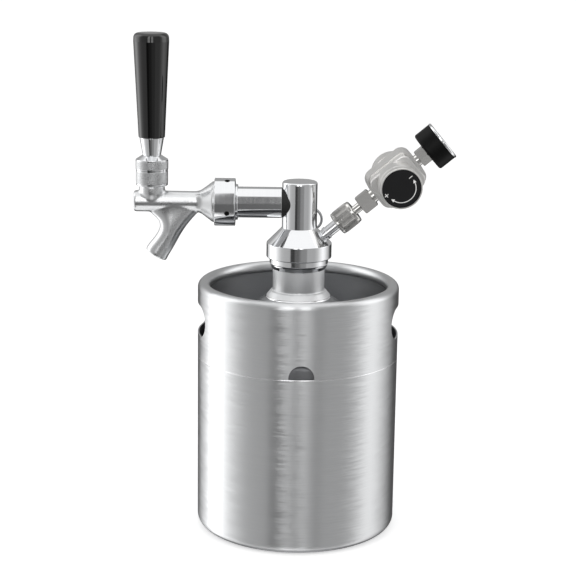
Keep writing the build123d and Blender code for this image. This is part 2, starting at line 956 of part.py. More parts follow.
def regulator_tail():
    """Flanged tail under the swivel nut with its hexagon and neck."""
    body_edge = regulator_distance - regulator_length / 2
    flange_end = tail_start + tail_flange_thickness
    hex_end = outlet_start + outlet_length
    tail = rod(tail_flange_radius, tail_start, flange_end)
    tail += rod(tail_radius, flange_end, outlet_start)
    tail += hexagon(outlet_hex, outlet_start, hex_end)
    tail += rod(outlet_neck_radius, hex_end, body_edge)
    tail += rod(tail_radius, body_edge, body_edge + tail_spigot_length)
    tail -= rod(stub_bore_radius, tail_start - over, body_edge + tail_spigot_length + over)
    return on(gas_line, tail)


# ------------------------------------------------------------ regulator
screw_places = [
    (x * (regulator_length / 2 - screw_inset), y * (regulator_width / 2 - screw_inset))
    for x in (-1, 1)
    for y in (-1, 1)
]
port_end = -regulator_back - port_boss_height
seal_front = port_end + cartridge_thread_length
seal_floor = seal_front + cartridge_seal_thickness
chamber_floor = regulator_parting - rear_chamber_depth


def regulator_body():
    """Rear casting with the gas ways and the cartridge port behind it."""
    half = regulator_length / 2
    body = prism(
        RectangleRounded(regulator_length, regulator_width, regulator_corner),
        -regulator_back,
        regulator_parting,
    )
    body = fillet(body.faces().sort_by(Axis.Z)[0].edges(), casting_edge)
    body += turned(
        (0, port_end),
        (port_boss_radius, port_end, port_boss_edge),
        (port_boss_radius, over - regulator_back),
        (0, over - regulator_back),
    )
    diaphragm_floor = regulator_parting - diaphragm_thickness
    body -= rod(rear_chamber_radius, chamber_floor, regulator_parting + over)
    body -= rod(diaphragm_radius + fit, diaphragm_floor, regulator_parting + over)
    body -= rod(cartridge_thread_radius, port_end - over, seal_front)
    body -= rod(cartridge_seal_radius, seal_front - over, seal_floor)
    body -= rod(port_bore_radius, seal_floor - over, chamber_floor + over)
    body -= Rot(0, 90, 0) * Cylinder(port_bore_radius, regulator_length + 2 * over)
    spigot = Rot(0, 90, 0) * Cylinder(tail_radius + fit, 2 * tail_spigot_length)
    body -= Pos(-half, 0, 0) * spigot
    body -= Pos(half, 0, 0) * spigot
    hole = rod(screw_radius + fit, -regulator_back - over, regulator_parting + over)
    for x, y in screw_places:
        body -= Pos(x, y) * hole
    return on(regulator_frame, body)


def regulator_front():
    """Front casting: a square foot under the round spring tower."""
    foot_top = regulator_parting + front_height
    body = prism(
        RectangleRounded(front_length, front_width, front_corner),
        regulator_parting,
        foot_top,
    )
    body = fillet(body.faces().sort_by(Axis.Z)[-1].edges(), round_edge)
    body += turned(
        (0, foot_top - over),
        (tower_radius, foot_top - over),
        (tower_radius, tower_top, soft_edge),
        (0, tower_top),
    )
    body -= rod(spring_chamber_radius, regulator_parting - over, tower_top - tower_roof)
    body -= rod(adjuster_radius + fit, regulator_parting, tower_top + over)
    hole = rod(screw_radius + fit, regulator_parting - over, foot_top - screw_hole_roof)
    for x, y in screw_places:
        body -= Pos(x, y) * hole
    return on(regulator_frame, body)


def body_screws():
    """Four pan-head screws from the back, one in each corner."""
    tip = regulator_parting + front_height - screw_hole_roof - slack
    head = -regulator_back - screw_head_height
    screw = turned(
        (0, head),
        (screw_head_radius, head, round_edge),
        (screw_head_radius, -regulator_back),
        (screw_radius, -regulator_back),
        (screw_radius, tip),
        (0, tip),
    )
    slot = Box(screw_slot_length, screw_slot_width, 2 * screw_slot_depth)
    screw -= Pos(0, 0, head) * slot
    screw -= Pos(0, 0, head) * Rot(0, 0, 90) * slot
    return Compound([on(regulator_frame, Pos(x, y) * screw) for x, y in screw_places])


def cartridge_seal():
    seal = ring(cartridge_seal_radius - fit, cartridge_seal_hole_radius, seal_front, seal_floor)
    return on(regulator_frame, seal)


def piercing_pin():
    pin = turned(
        (pin_tip_radius, seal_front + 2 * fit),
        (pin_radius, seal_floor + pin_shoulder),
        (pin_radius, chamber_floor),
        (pin_tip_radius, chamber_floor),
    )
    return on(regulator_frame, pin)


def diaphragm():
    low = regulator_parting - diaphragm_thickness
    disc = rod(diaphragm_radius, low, regulator_parting)
    boss_top = regulator_parting + diaphragm_boss_height
    boss = rod(diaphragm_boss_radius, regulator_parting, boss_top)
    return on(regulator_frame, disc + boss)


def poppet():
    high = regulator_parting - diaphragm_thickness
    head_top = chamber_floor + poppet_head_height
    body = turned(
        (0, chamber_floor),
        (poppet_radius, chamber_floor, fine_edge),
        (poppet_radius, head_top),
        (poppet_stem_radius, head_top),
        (poppet_stem_radius, high),
        (0, high),
    )
    return on(regulator_frame, body)


def poppet_spring():
    low = chamber_floor + poppet_head_height
    high = regulator_parting - diaphragm_thickness
    inner = poppet_spring_radius - poppet_spring_wire
    return on(regulator_frame, ring(poppet_spring_radius, inner, low, high))


spring_low = regulator_parting + diaphragm_boss_height + 2 * fit
spring_high = spring_low + spring_length


def adjusting_spring():
    return on(
        regulator_frame,
        ring(spring_radius, spring_radius - spring_wire, spring_low, spring_high),
    )


def spring_button():
    """Threaded cup on the adjuster that squeezes the spring in its groove."""
    low = spring_high - button_skirt
    groove_top = spring_high + button_travel + 2 * fit
    button = ring(button_radius, adjuster_radius + fit, low, groove_top + button_roof)
    groove_outer = spring_radius + slack
    groove_inner = spring_radius - spring_wire - slack
    groove = ring(groove_outer, groove_inner, low - over, groove_top)
    return on(regulator_frame, button - groove)


knob_low = tower_top + knob_gap
knob_high = knob_low + knob_height


def knob():
    """Turned ring with the adjuster's screw in its middle."""
    face = knob_high - knob_face_thickness
    body = turned(
        (0, knob_low),
        (knob_radius, knob_low, fine_edge),
        (knob_radius, knob_high, soft_edge),
        (knob_face_radius + fit, knob_high),
        (knob_face_radius + fit, face),
        (0, face),
    )
    body += rod(adjuster_radius, regulator_parting + adjuster_tip, knob_low + over)
    return on(regulator_frame, body)


def knob_face():
    low = knob_high - knob_face_thickness
    high = knob_high - knob_face_sink
    disc = turned(
        (0, low),
        (knob_face_radius, low),
        (knob_face_radius, high, fine_edge),
        (0, high),
    )
    return on(regulator_frame, disc)


# ------------------------------------------------------------ gauge
gauge_seat = gauge_start + gauge_depth
dial_face = gauge_seat - dial_depth
lens_low = gauge_seat - lens_thickness
case_floor = gauge_start + gauge_back
socket_top = case_floor + gauge_socket_rise


def gauge_stem():
    """Threaded neck, hexagon and the block that carries the movement."""
    body_edge = regulator_distance + regulator_length / 2
    stem = rod(tail_radius, body_edge - tail_spigot_length, body_edge)
    stem += rod(gauge_neck_radius, body_edge, gauge_hex_start)
    stem += hexagon(gauge_hex, gauge_hex_start, gauge_start)
    stem += rod(gauge_socket_radius, gauge_start, socket_top)
    stem -= rod(gauge_bore_radius, body_edge - tail_spigot_length - over, gauge_start + over)
    return on(gas_line, stem)


def gauge_case():
    inner = gauge_radius - gauge_wall
    hole = gauge_socket_radius + fit
    body = turned(
        (hole, gauge_start),
        (gauge_radius, gauge_start, gauge_edge),
        (gauge_radius, gauge_seat),
        (inner, gauge_seat),
        (inner, case_floor),
        (hole, case_floor),
    )
    return on(gas_line, body)


def gauge_bezel():
    top = gauge_seat + bezel_height
    body = turned(
        (bezel_window_radius, gauge_seat),
        (bezel_radius, gauge_seat, fine_edge),
        (bezel_radius, top, round_edge),
        (bezel_window_radius, top, fine_edge),
    )
    return on(gas_line, body)


def gauge_lens():
    radius = gauge_radius - gauge_wall - fit
    return on(gas_line, rod(radius, lens_low, gauge_seat))


def gauge_dial():
    radius = gauge_radius - gauge_wall - fit
    return on(
        gas_line,
        ring(radius, arbor_radius + slack, dial_face - dial_thickness, dial_face),
    )


def bourdon_tube():
    """C-shaped tube that opens with pressure, on its socket block."""
    low = case_floor + bourdon_rise
    high = low + bourdon_width
    inner = bourdon_radius - bourdon_thickness / 2
    outer = bourdon_radius + bourdon_thickness / 2
    tube = turned((inner, low), (outer, low), (outer, high), (inner, high), sweep=bourdon_sweep)
    block = Box(outer, socket_block_width, socket_block_height)
    middle = socket_top + socket_block_height / 2
    return on(gas_line, tube + Pos(bourdon_radius / 2, 0, middle) * block)


def gauge_movement():
    """Plate on a post that carries the pointer's arbor."""
    high = dial_face - dial_thickness - movement_plate_gap
    low = high - movement_plate_thickness
    post = Pos(-movement_post_offset, 0, 0) * rod(movement_post_radius, socket_top, high)
    plate = prism(Rectangle(movement_plate_length, movement_plate_width), low, high)
    plate = Pos(-movement_plate_offset, 0, 0) * plate
    hole = rod(arbor_radius + fit, low - over, high + over)
    return on(gas_line, post + plate - hole)


def gauge_pointer():
    low = dial_face + pointer_gap
    outline = Polyline(
        (0, pointer_length),
        (pointer_half_width, 0),
        (pointer_tail_half_width, -pointer_tail),
        (-pointer_tail_half_width, -pointer_tail),
        (-pointer_half_width, 0),
        close=True,
    )
    needle = prism(make_face(outline), low, low + pointer_thickness)
    hub = rod(pointer_hub_radius, low, low + pointer_hub_height)
    arbor = rod(arbor_radius, dial_face - dial_thickness - arbor_reach, low)
    return on(gas_line, Rot(0, 0, pointer_rest_angle) * (needle + hub + arbor))


# ------------------------------------------------------------ relief valve
relief_floor = relief_root + relief_wall
relief_seal_top = relief_floor + relief_seal_thickness


def relief_body():
    body = turned(
        (0, relief_root),
        (relief_radius, relief_root),
        (relief_radius, relief_end, round_edge),
        (0, relief_end),
    )
    body -= rod(stub_bore_radius, relief_root - over, relief_floor + over)
    body -= rod(relief_bore_radius, relief_floor, relief_end - relief_roof)
    body -= rod(relief_stem_radius + fit, relief_floor, relief_end + over)
    return on(relief_line, body)


def relief_stem():
    top = relief_hole_distance + relief_stem_head
    shoulder_top = relief_seal_top + relief_shoulder_thickness
    stem = rod(relief_stem_radius, relief_seal_top, top)
    stem += rod(relief_shoulder_radius, relief_seal_top, shoulder_top)
    stem = fillet(stem.edges().sort_by(Axis.Z)[-1], round_edge)
    hole = Rot(0, 90, 0) * Cylinder(relief_hole_radius, 3 * relief_stem_radius)
    return on(relief_line, stem - Pos(0, 0, relief_hole_distance) * hole)


def relief_seal():
    return on(relief_line, rod(relief_shoulder_radius, relief_floor, relief_seal_top))


def relief_spring():
    outer = relief_bore_radius - fit
    inner = relief_shoulder_radius + fit
    return on(relief_line, ring(outer, inner, relief_floor, relief_end - relief_roof))


def pull_ring():
    """Ring of wire that hangs from the hole in the relief valve's stem."""
    hole = relief_line.from_local_coords((0, 0, relief_hole_distance))
    hanging = Plane(
        origin=hole - Vector(0, 0, pull_ring_radius),
        x_dir=(math.sin(relief_turn), -math.cos(relief_turn), 0),
        z_dir=(math.cos(relief_turn), math.sin(relief_turn), 0),
    )
    return on(hanging, Torus(pull_ring_radius, pull_wire_radius))


# ------------------------------------------------------------ nodes
def neck_seal():
    return ring(neck_thread_radius, neck_bore_radius, neck_top, seal_top)


def dip_tube_seal():
    outer = dip_tube_radius + dip_tube_seal_width
    low = gas_chamber_top - dip_tube_seal_height
    return ring(outer, dip_tube_radius + fit, low, gas_chamber_top)


nodes = {
    "keg_vessel": keg_vessel,
    "keg_dome": keg_dome,
    "keg_collar": keg_collar,
    "keg_rim": keg_rim,
    "keg_neck": keg_neck,
    "neck_seal": neck_seal,
    "tap_head": tap_head,
    "dip_tube": dip_tube,
    "dip_tube_seal": dip_tube_seal,
    "shank_seal": shank_seal,
    "shank_tube": shank_tube,
    "shank_ring": shank_ring,
    "coupling_gasket": coupling_gasket,
    "coupling_nut": coupling_nut,
    "faucet_body": faucet_body,
    "ball_seat": ball_seat,
    "friction_washer": friction_washer,
    "bonnet": bonnet,
    "lever": lever,
    "lever_collar": lever_collar,
    "ferrule": ferrule,
    "handle": handle,
    "plunger": plunger,
    "valve_washer": valve_washer,
    "valve_nut": valve_nut,
    "gas_stub": gas_stub,
    "swivel_nut": swivel_nut,
    "regulator_tail": regulator_tail,
    "regulator_body": regulator_body,
    "regulator_front": regulator_front,
    "body_screws": body_screws,
    "cartridge_seal": cartridge_seal,
    "piercing_pin": piercing_pin,
    "diaphragm": diaphragm,
    "poppet": poppet,
    "poppet_spring": poppet_spring,
    "adjusting_spring": adjusting_spring,
    "spring_button": spring_button,
    "knob": knob,
    "knob_face": knob_face,
    "gauge_stem": gauge_stem,
    "gauge_case": gauge_case,
    "gauge_bezel": gauge_bezel,
    "gauge_lens": gauge_lens,
    "gauge_dial": gauge_dial,
    "gauge_pointer": gauge_pointer,
    "gauge_movement": gauge_movement,
    "bourdon_tube": bourdon_tube,
    "relief_body": relief_body,
    "relief_stem": relief_stem,
    "relief_seal": relief_seal,
    "relief_spring": relief_spring,
    "pull_ring": pull_ring,
}

for name, build in nodes.items():
    save(name, build())
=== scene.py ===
import json
import math

import bpy
from mathutils import Matrix, Vector


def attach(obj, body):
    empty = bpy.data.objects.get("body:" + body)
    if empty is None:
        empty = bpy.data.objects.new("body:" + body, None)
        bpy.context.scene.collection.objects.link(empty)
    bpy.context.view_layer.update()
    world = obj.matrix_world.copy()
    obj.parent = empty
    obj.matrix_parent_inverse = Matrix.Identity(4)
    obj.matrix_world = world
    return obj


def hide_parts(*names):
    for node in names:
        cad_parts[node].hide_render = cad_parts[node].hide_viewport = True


# Mini keg beer dispenser: brushed steel keg, chrome tap head and faucet, black
# handle, satin gas regulator.  Sizes below are in millimetres.
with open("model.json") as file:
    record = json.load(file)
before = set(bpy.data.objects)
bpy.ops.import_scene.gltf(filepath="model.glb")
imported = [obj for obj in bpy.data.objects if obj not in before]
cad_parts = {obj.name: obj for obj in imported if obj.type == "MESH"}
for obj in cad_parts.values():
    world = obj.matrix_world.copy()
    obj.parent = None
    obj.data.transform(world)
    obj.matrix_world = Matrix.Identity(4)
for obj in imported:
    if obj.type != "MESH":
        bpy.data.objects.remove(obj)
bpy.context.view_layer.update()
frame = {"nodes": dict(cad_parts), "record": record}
nodes = frame["nodes"]

# ------------------------------------------------------------ sizes
MM = 0.001
KEG_RADIUS = 67.0
SEAM_HEIGHT = 118.3
NECK_BASE = 158.17
NECK_FLANGE_RADIUS = 21.2
SHANK_HEIGHT = 220.85
LEVER_REACH = 97.2
BONNET_RADIUS = 10.4
BONNET_BOTTOM = SHANK_HEIGHT + 10.7
BONNET_TOP = BONNET_BOTTOM + 10.2
COLLAR_RADIUS = 10.6
COLLAR_CUP_EDGE = SHANK_HEIGHT + 21.15
COLLAR_CONE_BASE = SHANK_HEIGHT + 27.8
SPANNER_HOLES = 4
SPANNER_HOLE_ANGLE = math.radians(-19.0)
SPANNER_HOLE_RADIUS = 1.68
SPANNER_HOLE_FLOOR = 14.2
SPANNER_HOLE_PLACE = 47.6
GAS_AXIS_HEIGHT = 185.6
GAS_ANGLE = math.radians(40.0)
SWIVEL_START = 32.6
SWIVEL_END = 47.4
SWIVEL_RADIUS = 8.0
REGULATOR_DISTANCE = 81.9
REGULATOR_ROLL = math.radians(8.5)
KNOB_FACE_HEIGHT = 25.5
GAUGE_NECK_START = 99.5
GAUGE_NECK_END = 101.5
GAUGE_NECK_RADIUS = 4.0
DIAL_HEIGHT = 117.2

# Worked skins: each starts a little inside its bar and sinks its grooves into the face
SKIN_ROOT = 0.12
SKIN_SINK = 0.02
KNURL_PITCH = 1.0
KNURL_DEPTH = 0.2
SWIVEL_GROOVES = 46
SWIVEL_GROOVE_DEPTH = 0.32
GAUGE_THREAD_PITCH = 0.9
GAUGE_THREAD_DEPTH = 0.35


# ------------------------------------------------------------ places
def place(origin, x, z):
    """A piece's own axes, in millimetres."""
    z = Vector(z).normalized()
    x = Vector(x).normalized()
    matrix = Matrix((x, z.cross(x), z)).transposed().to_4x4()
    matrix.translation = Vector(origin)
    return matrix


along_gas = Vector((math.cos(GAS_ANGLE), 0, math.sin(GAS_ANGLE)))
knob_out = Vector(
    (
        math.sin(GAS_ANGLE) * math.sin(REGULATOR_ROLL),
        -math.cos(REGULATOR_ROLL),
        -math.cos(GAS_ANGLE) * math.sin(REGULATOR_ROLL),
    )
)
gas_origin = Vector((0, 0, GAS_AXIS_HEIGHT))
upright = place((0, 0, 0), (1, 0, 0), (0, 0, 1))
shank_place = place((0, 0, SHANK_HEIGHT), (0, -1, 0), (-1, 0, 0))
lever_place = place((-LEVER_REACH, 0, 0), (1, 0, 0), (0, 0, 1))
gas_place = place(gas_origin, (0, -1, 0), along_gas)
knob_place = place(gas_origin + REGULATOR_DISTANCE * along_gas, along_gas, knob_out)
dial_place = place(gas_origin, (0, 1, 0), along_gas)


# ------------------------------------------------------------ materials
# Most of a noise pattern lies between these two values
PATTERN_LOW = 0.3
PATTERN_HIGH = 0.7
# Pattern sizes in millimetres: brush streaks (drawn about three times their real
# height so that they show), cloudy patches of the brushing, and marks of handling
BRUSH_STREAK = (16.0, 16.0, 0.75)
BRUSH_PATCH = (30.0, 30.0, 4.0)
HANDLING_PATCH = 7.0


def linear(code):
    """sRGB hex colour as linear RGBA."""
    parts = [int(code[i : i + 2], 16) / 255 for i in (1, 3, 5)]
    curved = [c / 12.92 if c <= 0.04045 else ((c + 0.055) / 1.055) ** 2.4 for c in parts]
    return (*curved, 1.0)


def add(tree, kind, inputs=None, **settings):
    """Add a node with its settings; an input is a value or another node's output."""
    node = tree.nodes.new(kind)
    for key, value in settings.items():
        setattr(node, key, value)
    for key, value in (inputs or {}).items():
        if isinstance(value, bpy.types.NodeSocket):
            tree.links.new(value, node.inputs[key])
        else:
            node.inputs[key].default_value = value
    return node


def skin(name, colour, metallic, roughness, **sockets):
    """New material with its plain values, and its tree and shader."""
    material = bpy.data.materials.new(name)
    material.use_nodes = True
    tree = material.node_tree
    shader = tree.nodes["Principled BSDF"]
    shader.inputs["Base Color"].default_value = linear(colour)
    shader.inputs["Metallic"].default_value = metallic
    shader.inputs["Roughness"].default_value = roughness
    for key, value in sockets.items():
        shader.inputs[key.replace("_", " ")].default_value = value
    return material, tree, shader


def own_axes(tree, where):
    """Coordinates in a piece's own axes, in metres."""
    coordinates = add(tree, "ShaderNodeTexCoord")
    return add(
        tree,
        "ShaderNodeMapping",
        {
            "Vector": coordinates.outputs["Object"],
            "Location": where.translation * MM,
            "Rotation": where.to_euler(),
        },
        vector_type="TEXTURE",
    ).outputs["Vector"]


def grain(tree, vector, size, detail=3.0, roughness=0.55):
    """Noise with this grain size in millimetres, or one size for each axis."""
    sizes = size if isinstance(size, tuple) else (size, size, size)
    scaled = add(
        tree,
        "ShaderNodeVectorMath",
        {0: vector, 1: [1 / (value * MM) for value in sizes]},
        operation="MULTIPLY",
    )
    noise = add(
        tree,
        "ShaderNodeTexNoise",
        {"Vector": scaled.outputs[0], "Scale": 1.0, "Detail": detail, "Roughness": roughness},
    )
    return noise.outputs["Fac"]


def lathe_lines(tree, vector, pitch):
    """Rings that a turning tool leaves around a piece's own z axis."""
    split = add(tree, "ShaderNodeSeparateXYZ", {0: vector})
    flat = add(tree, "ShaderNodeCombineXYZ", {"X": split.outputs["X"], "Y": split.outputs["Y"]})
    radius = add(tree, "ShaderNodeVectorMath", {0: flat.outputs[0]}, operation="LENGTH")
    across = {"X": radius.outputs["Value"], "Z": split.outputs["Z"]}
    rings = add(tree, "ShaderNodeCombineXYZ", across)
    return grain(tree, rings.outputs[0], pitch, detail=2.0)


def blend(tree, a, b, share):
    """Mix of two patterns."""
    mixed = add(tree, "ShaderNodeMix", {"Factor": share, "A": a, "B": b})
    return mixed.outputs["Result"]


def dress(tree, shader, pattern, depth, roughness, tones):
    """Let a 0-1 pattern cut the surface and vary its roughness and tone."""
    bump = add(tree, "ShaderNodeBump", {"Height": pattern, "Distance": depth * MM, "Strength": 1.0})
    tree.links.new(bump.outputs["Normal"], shader.inputs["Normal"])
    vary(tree, shader, pattern, roughness, tones)
    return bump.outputs["Normal"]


def vary(tree, shader, pattern, roughness, tones):
    """Let a 0-1 pattern vary roughness and tone."""
    rough = add(
        tree,
        "ShaderNodeMapRange",
        {
            "Value": pattern,
            "From Min": PATTERN_LOW,
            "From Max": PATTERN_HIGH,
            "To Min": roughness[0],
            "To Max": roughness[1],
        },
    )
    tree.links.new(rough.outputs["Result"], shader.inputs["Roughness"])
    tone = add(
        tree,
        "ShaderNodeMix",
        {"Factor": pattern, 6: linear(tones[0]), 7: linear(tones[1])},
        data_type="RGBA",
    )
    tree.links.new(tone.outputs[2], shader.inputs["Base Color"])


def lean_around(tree, shader, normal, pattern, amount):
    """Tip the surface a little to and fro around the keg, streak by streak."""
    around = add(tree, "ShaderNodeTangent", direction_type="RADIAL", axis="Z").outputs[0]
    to_and_fro = {0: pattern, 1: amount, 2: -amount / 2}
    swing = add(tree, "ShaderNodeMath", to_and_fro, operation="MULTIPLY_ADD").outputs[0]
    push = add(tree, "ShaderNodeVectorMath", {0: around, "Scale": swing}, operation="SCALE")
    tipped = add(tree, "ShaderNodeVectorMath", {0: normal, 1: push.outputs[0]}, operation="ADD")
    unit = add(tree, "ShaderNodeVectorMath", {0: tipped.outputs[0]}, operation="NORMALIZE")
    tree.links.new(unit.outputs[0], shader.inputs["Normal"])
    tree.links.new(around, shader.inputs["Tangent"])


def brushed_keg(name, tones, roughness, depth, lean, inside=None, edge=66.3):
    """Stainless sheet, brushed around the keg: short level streaks tip the light
    to and fro, so its soft upright bands get jagged edges.  What lies inside the
    edge radius is given its own tone, so that one side of the edge can carry painted shade."""
    brushing = {"Anisotropic": 0.85, "Anisotropic_Rotation": 0.25}
    material, tree, shader = skin(name, tones[0], 1.0, roughness[0], **brushing)
    where = own_axes(tree, upright)
    streaks = grain(tree, where, BRUSH_STREAK, detail=2.0, roughness=0.7)
    patches = grain(tree, where, BRUSH_PATCH, detail=2.0)
    normal = dress(tree, shader, blend(tree, streaks, patches, 0.3), depth, roughness, tones)
    lean_around(tree, shader, normal, streaks, lean)
    if inside:
        tone = shader.inputs["Base Color"].links[0].from_socket
        flat = add(tree, "ShaderNodeVectorMath", {0: where, 1: (1, 1, 0)}, operation="MULTIPLY")
        radius = add(tree, "ShaderNodeVectorMath", {0: flat.outputs[0]}, operation="LENGTH")
        outer = add(
            tree,
            "ShaderNodeMapRange",
            {
                "Value": radius.outputs["Value"],
                "From Min": (edge - 0.1) * MM,
                "From Max": (edge + 0.1) * MM,
            },
        )
        two_tones = {"Factor": outer.outputs[0], 6: linear(inside), 7: tone}
        mixed = add(tree, "ShaderNodeMix", two_tones, data_type="RGBA")
        tree.links.new(mixed.outputs[2], shader.inputs["Base Color"])
    return material


def turned_metal(name, where, tones, roughness, pitch, depth, metallic=1.0):
    """Bar metal off the lathe: fine rings around its axis."""
    material, tree, shader = skin(name, tones[0], metallic, roughness[0])
    vector = own_axes(tree, where)
    rings = lathe_lines(tree, vector, pitch)
    handling = grain(tree, vector, HANDLING_PATCH, detail=2.0)
    dress(tree, shader, blend(tree, rings, handling, 0.35), depth, roughness, tones)
    return material


def cast_metal(name, tones, roughness, size, depth, metallic=1.0):
    """Cast and tumbled metal: an even soft grain without direction."""
    material, tree, shader = skin(name, tones[0], metallic, roughness[0])
    vector = own_axes(tree, upright)
    fine = grain(tree, vector, size)
    clouds = grain(tree, vector, size * 14, detail=1.0)
    dress(tree, shader, blend(tree, fine, clouds, 0.4), depth, roughness, tones)
    return material


def moulded(name, tones, roughness, size, depth, **sockets):
    """Plastic, rubber or paint with the faint texture of its mould or gun."""
    material, tree, shader = skin(name, tones[0], 0.0, roughness[0], **sockets)
    vector = own_axes(tree, upright)
    dress(tree, shader, grain(tree, vector, size), depth, roughness, tones)
    return material


# Each finish has its darkest and lightest tone, its roughness from smooth to rough,
# the size of its pattern and how deep that cuts, both in millimetres.
STEEL = ("#CBCCCD", "#DADBDC")
CHROME = ("#DFE0E2", "#E9EAEB")
NICKEL = ("#C6C5C2", "#D6D5D3")

# Keg and collar: soft upright bands of light; the collar's inner face gets a darker tone, painted
# shade from the collar's wall
steel_shell = brushed_keg(
    "stainless_sheet_brushed", STEEL, (0.29, 0.38), 0.012, 0.2, inside="#9A9B9D"
)
# Dome inside the collar: pale on the cone, dark at its foot where the collar shades it
steel_inside = brushed_keg(
    "stainless_sheet_inside", ("#6A6B6D", "#7A7B7D"), (0.34, 0.44), 0.010, 0.15,
    inside="#A2A3A5", edge=62.0,
)
# Rolled rim: smoother than the sheet, so it carries one clear line of light
steel_rim = brushed_keg(
    "stainless_rim_polished", ("#CCCDCE", "#D8D9DA"), (0.30, 0.37), 0.004, 0.12
)
# Neck: satin turning rings, without mirror images
steel_neck = turned_metal(
    "stainless_neck_turned", upright, ("#DADBDC", "#E6E7E8"), (0.34, 0.42), 0.35, 0.003,
    metallic=0.7,
)
# Weld beads and dip tube: brighter than the sheet beside them
steel_bead = turned_metal(
    "stainless_bead_polished", upright, ("#E2E3E4", "#EDEDEE"), (0.10, 0.18), 0.6, 0.002
)
# Chrome on turned brass: nearly a mirror, with hard dark and bright bands
chrome_head = turned_metal(
    "chrome_head_polished", upright, CHROME, (0.05, 0.11), 0.35, 0.0008
)
chrome_shank = turned_metal(
    "chrome_shank_polished", shank_place, CHROME, (0.05, 0.10), 0.5, 0.0006
)
chrome_lever = turned_metal(
    "chrome_lever_polished", lever_place, CHROME, (0.06, 0.12), 0.4, 0.0008
)
chrome_gas = turned_metal(
    "chrome_gas_polished", gas_place, CHROME, (0.06, 0.12), 0.4, 0.0008
)
# Faucet: cast steel, buffed until the light only just blurs
casting_faucet = cast_metal(
    "stainless_casting_polished", ("#D6D7D8", "#DCDDDE"), (0.26, 0.30), 0.5, 0.0008
)
# Knurls on the bonnet and the lever's collar: greyer, because their ridges hold shade
knurl_lever = cast_metal(
    "stainless_knurl", ("#B4B5B6", "#CCCDCE"), (0.24, 0.34), 0.5, 0.004
)
# Nickel on turned brass: a little warmer and softer than the chrome
nickel_nut = turned_metal(
    "nickel_nut_turned", gas_place, NICKEL, (0.09, 0.13), 0.3, 0.0006, metallic=0.97
)
# Grooves of the swivel nut: rougher nickel, toned darker as painted shade in the grooves, between
# bright edges
nickel_knurl = cast_metal(
    "nickel_knurl", ("#9B9A98", "#ACABA9"), (0.24, 0.32), 0.4, 0.001
)
# Regulator: blasted and nickel plated casting, an even satin without images
nickel_casting = cast_metal(
    "zinc_casting_satin_nickel", ("#DDDCDA", "#E7E6E4"), (0.30, 0.38), 0.45, 0.004,
    metallic=0.76,
)
# Knob's rim: aluminium straight off the lathe
knob_metal = turned_metal(
    "aluminium_knob_turned", knob_place, ("#DAD9D6", "#E4E3E0"), (0.28, 0.38), 0.28, 0.004,
    metallic=0.75,
)
# Knob's disc: dead matt, so that its white marks stand out
knob_black = moulded(
    "printed_disc_matt_black", ("#111112", "#161618"), (0.55, 0.7), 0.3, 0.004,
    Specular_IOR_Level=0.25,
)
print_white = moulded(
    "screen_ink_white", ("#E6E6E4", "#F2F2F0"), (0.5, 0.65), 0.4, 0.003
)
# Gauge's case: stoved enamel with a faint sheen
enamel = moulded(
    "gauge_enamel_satin_black", ("#050505", "#090909"), (0.36, 0.46), 0.5, 0.004,
    Specular_IOR_Level=0.13,
)
# Floors of the spanner holes: painted shade, a dark disc that stands in for the shadow inside each
# hole
painted_shade_black = moulded(
    "hole_painted_shade_black", ("#0A0A0A", "#121212"), (0.7, 0.85), 0.3, 0.002,
    Specular_IOR_Level=0.15,
)
# Handle: phenolic resin from a polished mould, black with sharp highlights
phenolic = moulded(
    "phenolic_handle_gloss_black", ("#030303", "#050505"), (0.04, 0.07), 1.6, 0.0006,
    Specular_IOR_Level=0.75,
)
# Seals and seats, mostly hidden: dull rubber and milky nylon
rubber = moulded(
    "seal_rubber_black", ("#131313", "#1E1E1E"), (0.6, 0.78), 0.35, 0.01
)
nylon = moulded(
    "seat_nylon_natural", ("#D9D7CC", "#E4E2D8"), (0.38, 0.5), 0.5, 0.004
)
# Dial: flat white paint under printed black ink
dial_paint = moulded(
    "dial_paint_white", ("#E8E8E4", "#F1F1EE"), (0.45, 0.6), 0.5, 0.002
)
ink_black = moulded(
    "dial_ink_black", ("#141414", "#1C1C1C"), (0.5, 0.65), 0.4, 0.002
)
# Works inside the regulator and the gauge
brass = turned_metal(
    "brass_machined", gas_place, ("#C9A25A", "#D8B46C"), (0.2, 0.3), 0.3, 0.003
)
# Springs and pull ring: drawn wire, grey with a soft shine
spring_wire = cast_metal(
    "spring_steel_drawn", ("#9A9B9D", "#B1B2B4"), (0.22, 0.34), 0.3, 0.002
)
# Gauge's window: clear acrylic
window = skin(
    "gauge_window_clear", "#F4F6F6", 0.0, 0.03, IOR=1.49, Transmission_Weight=1.0
)[0]

finishes = {
    "keg_vessel": steel_shell,
    "keg_collar": steel_shell,
    "keg_rim": steel_rim,
    "keg_dome": steel_inside,
    "keg_neck": steel_neck,
    "tap_head": chrome_head,
    "shank_tube": chrome_shank,
    "shank_ring": chrome_shank,
    "coupling_nut": chrome_shank,
    "faucet_body": casting_faucet,
    "bonnet": chrome_lever,
    "lever": chrome_lever,
    "lever_collar": chrome_lever,
    "ferrule": chrome_lever,
    "handle": phenolic,
    "plunger": chrome_shank,
    "valve_nut": chrome_shank,
    "gas_stub": chrome_gas,
    "swivel_nut": nickel_nut,
    "regulator_tail": nickel_nut,
    "regulator_body": nickel_casting,
    "regulator_front": nickel_casting,
    "body_screws": nickel_nut,
    "piercing_pin": nickel_nut,
    "knob": knob_metal,
    "knob_face": knob_black,
    "gauge_stem": nickel_nut,
    "gauge_case": enamel,
    "gauge_bezel": chrome_gas,
    "gauge_lens": window,
    "gauge_dial": dial_paint,
    "gauge_pointer": ink_black,
    "relief_body": chrome_gas,
    "relief_stem": chrome_gas,
    "pull_ring": spring_wire,
    "dip_tube": steel_bead,
}
by_slot = {
    "rubber": rubber,
    "nylon": nylon,
    "brass": brass,
    "spring_steel": spring_wire,
}
